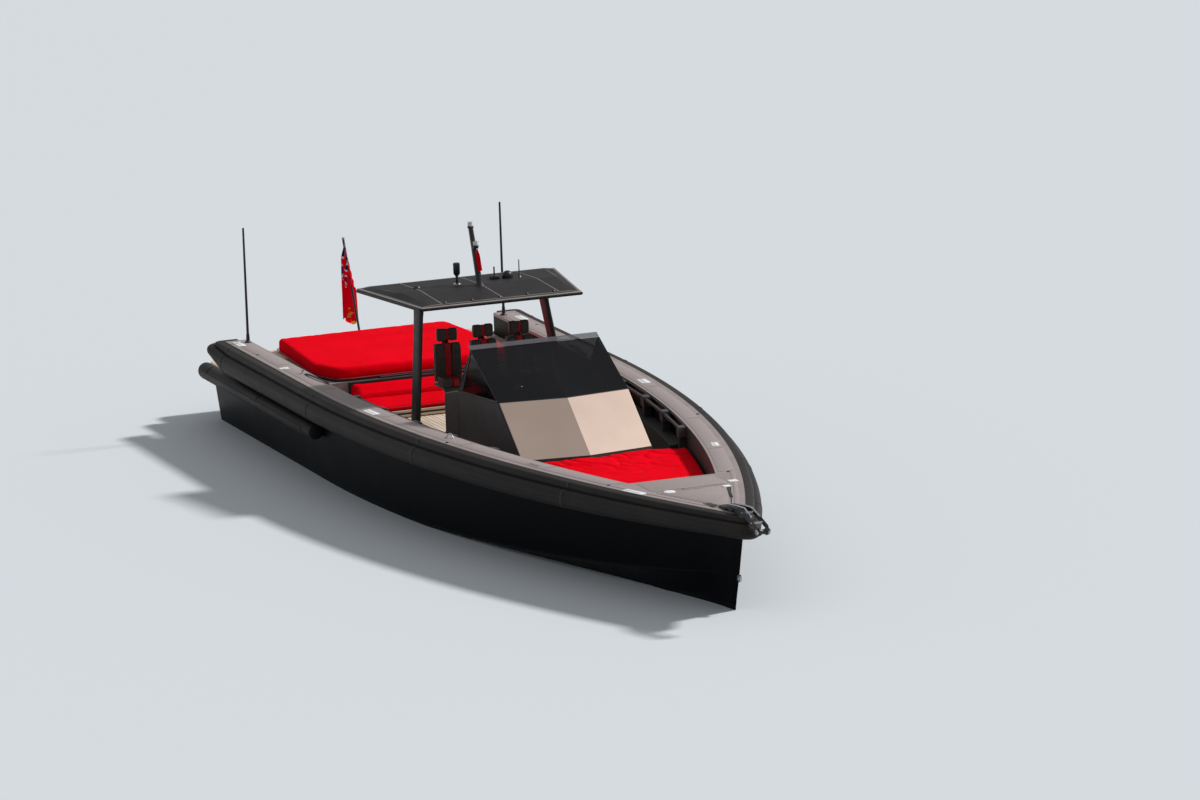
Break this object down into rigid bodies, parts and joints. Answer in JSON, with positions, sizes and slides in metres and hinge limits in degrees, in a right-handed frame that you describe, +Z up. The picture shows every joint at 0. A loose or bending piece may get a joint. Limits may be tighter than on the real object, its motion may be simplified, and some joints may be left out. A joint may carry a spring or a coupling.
{
  "type": "motor yacht",
  "caption": "Open motor yacht tender with a rubber fender collar, a hard roof on two struts, a raked windscreen console, red sun pads and steerable pod drives.",
  "frame": {"origin": "on the centreline at the waterline, amidships", "axes": "+X forward to the bow, +Y to port, +Z up"},
  "size_m": [15.255, 4.63, 4.4827],
  "materials": {
    "hull_paint": "gloss near-black navy paint",
    "deck_paint": "satin silver-grey paint",
    "collar_rubber": "matt charcoal fender rubber",
    "teak": "bleached caulked teak",
    "engine_paint": "plain engine block",
    "red_cushion": "bright red sewn cushion vinyl",
    "pod_paint": "black antifouling",
    "bronze": "machined bronze",
    "console_paint": "satin dark grey with silver-grey front panels",
    "tinted_glass": "dark tinted glass",
    "wheel_leather": "black leather rim",
    "seat_shell": "moulded shell",
    "seat_leather": "dark grey pads with red centres",
    "roof_paint": "satin brown-black composite",
    "strut_paint": "satin dark grey",
    "gear_black": "matt black",
    "stainless": "polished stainless steel",
    "flag_cloth": "woven bunting"
  },
  "bodies": {
    "root": {"hull": "hull_paint", "topside_port": "hull_paint", "topside_starboard": "hull_paint", "bow": "hull_paint", "gunwale_port": "deck_paint", "gunwale_starboard": "deck_paint", "foredeck": "deck_paint", "aft_deck": "deck_paint", "fore_seat": "deck_paint", "side_lockers": "deck_paint", "bench": "deck_paint", "collar_starboard": "collar_rubber", "collar_port": "collar_rubber", "collar_bow": "collar_rubber", "stern_fender_starboard": "collar_rubber", "stern_fender_port": "collar_rubber", "bow_roller": "collar_rubber", "swim_platform": "teak", "cockpit_sole": "teak", "engines": "engine_paint", "bench_seat_cushion": "red_cushion", "bench_back_cushion": "red_cushion", "fore_cushion": "red_cushion", "console": "console_paint", "dash": "console_paint", "windscreen": "tinted_glass", "side_glass": "tinted_glass", "helm_seats": "seat_shell", "helm_pads": "seat_leather", "roof": "roof_paint", "roof_struts": "strut_paint", "mast": "strut_paint", "roof_gear": "gear_black", "whip_antennas": "gear_black", "flagstaff": "stainless", "ensign": "flag_cloth", "bow_arm": "stainless", "tow_eye": "stainless", "stern_eyes": "stainless", "cleats": "stainless"},
    "engine_hatch": {"engine_hatch": "deck_paint", "sun_pad": "red_cushion"},
    "anchor_hatch": {"anchor_hatch": "deck_paint"},
    "cabin_door": {"cabin_door": "console_paint"},
    "steering_wheel": {"steering_wheel": "wheel_leather"},
    "pod_port": {"pod_port": "pod_paint"},
    "pod_starboard": {"pod_starboard": "pod_paint"},
    "propeller_aft_port": {"propeller_aft_port": "bronze"},
    "propeller_fore_port": {"propeller_fore_port": "bronze"},
    "propeller_aft_starboard": {"propeller_aft_starboard": "bronze"},
    "propeller_fore_starboard": {"propeller_fore_starboard": "bronze"}
  },
  "joints": [
    {"name": "engine_hatch_hinge", "type": "hinge", "parent": "root", "child": "engine_hatch", "pos_m": [-4.08, 0, 0.9553], "axis": [0, 1, 0], "range_deg": [0, 50]},
    {"name": "anchor_hatch_hinge", "type": "hinge", "parent": "root", "child": "anchor_hatch", "pos_m": [5.53, 0, 1.2503], "axis": [0, -1, 0], "range_deg": [0, 85]},
    {"name": "cabin_door_hinge", "type": "hinge", "parent": "root", "child": "cabin_door", "pos_m": [0, 0.724, 0.91], "axis": [0, 0, -1], "range_deg": [0, 95]},
    {"name": "helm_wheel", "type": "hinge", "parent": "root", "child": "steering_wheel", "pos_m": [-0.33, 0, 1.42], "axis": [-0.8192, 0, 0.5736], "range_deg": [-450, 450]},
    {"name": "pod_steer_port", "type": "hinge", "parent": "root", "child": "pod_port", "pos_m": [-4.9, 0.72, -0.56], "axis": [0, 0, 1], "range_deg": [-27, 27]},
    {"name": "propeller_aft_port_spin", "type": "hinge", "parent": "pod_port", "child": "propeller_aft_port", "pos_m": [-4.529, 0.72, -0.88], "axis": [1, 0, 0], "continuous": true},
    {"name": "propeller_fore_port_spin", "type": "hinge", "parent": "pod_port", "child": "propeller_fore_port", "pos_m": [-4.413, 0.72, -0.88], "axis": [1, 0, 0], "continuous": true},
    {"name": "pod_steer_starboard", "type": "hinge", "parent": "root", "child": "pod_starboard", "pos_m": [-4.9, -0.72, -0.56], "axis": [0, 0, 1], "range_deg": [-27, 27]},
    {"name": "propeller_aft_starboard_spin", "type": "hinge", "parent": "pod_starboard", "child": "propeller_aft_starboard", "pos_m": [-4.529, -0.72, -0.88], "axis": [1, 0, 0], "continuous": true},
    {"name": "propeller_fore_starboard_spin", "type": "hinge", "parent": "pod_starboard", "child": "propeller_fore_starboard", "pos_m": [-4.413, -0.72, -0.88], "axis": [1, 0, 0], "continuous": true}
  ],
  "couplings": [
    {"joint": "pod_steer_port", "follows": "helm_wheel", "ratio": -0.06},
    {"joint": "propeller_fore_port_spin", "follows": "propeller_aft_port_spin", "ratio": -1},
    {"joint": "pod_steer_starboard", "follows": "helm_wheel", "ratio": -0.06},
    {"joint": "propeller_fore_starboard_spin", "follows": "propeller_aft_starboard_spin", "ratio": -1}
  ]
}
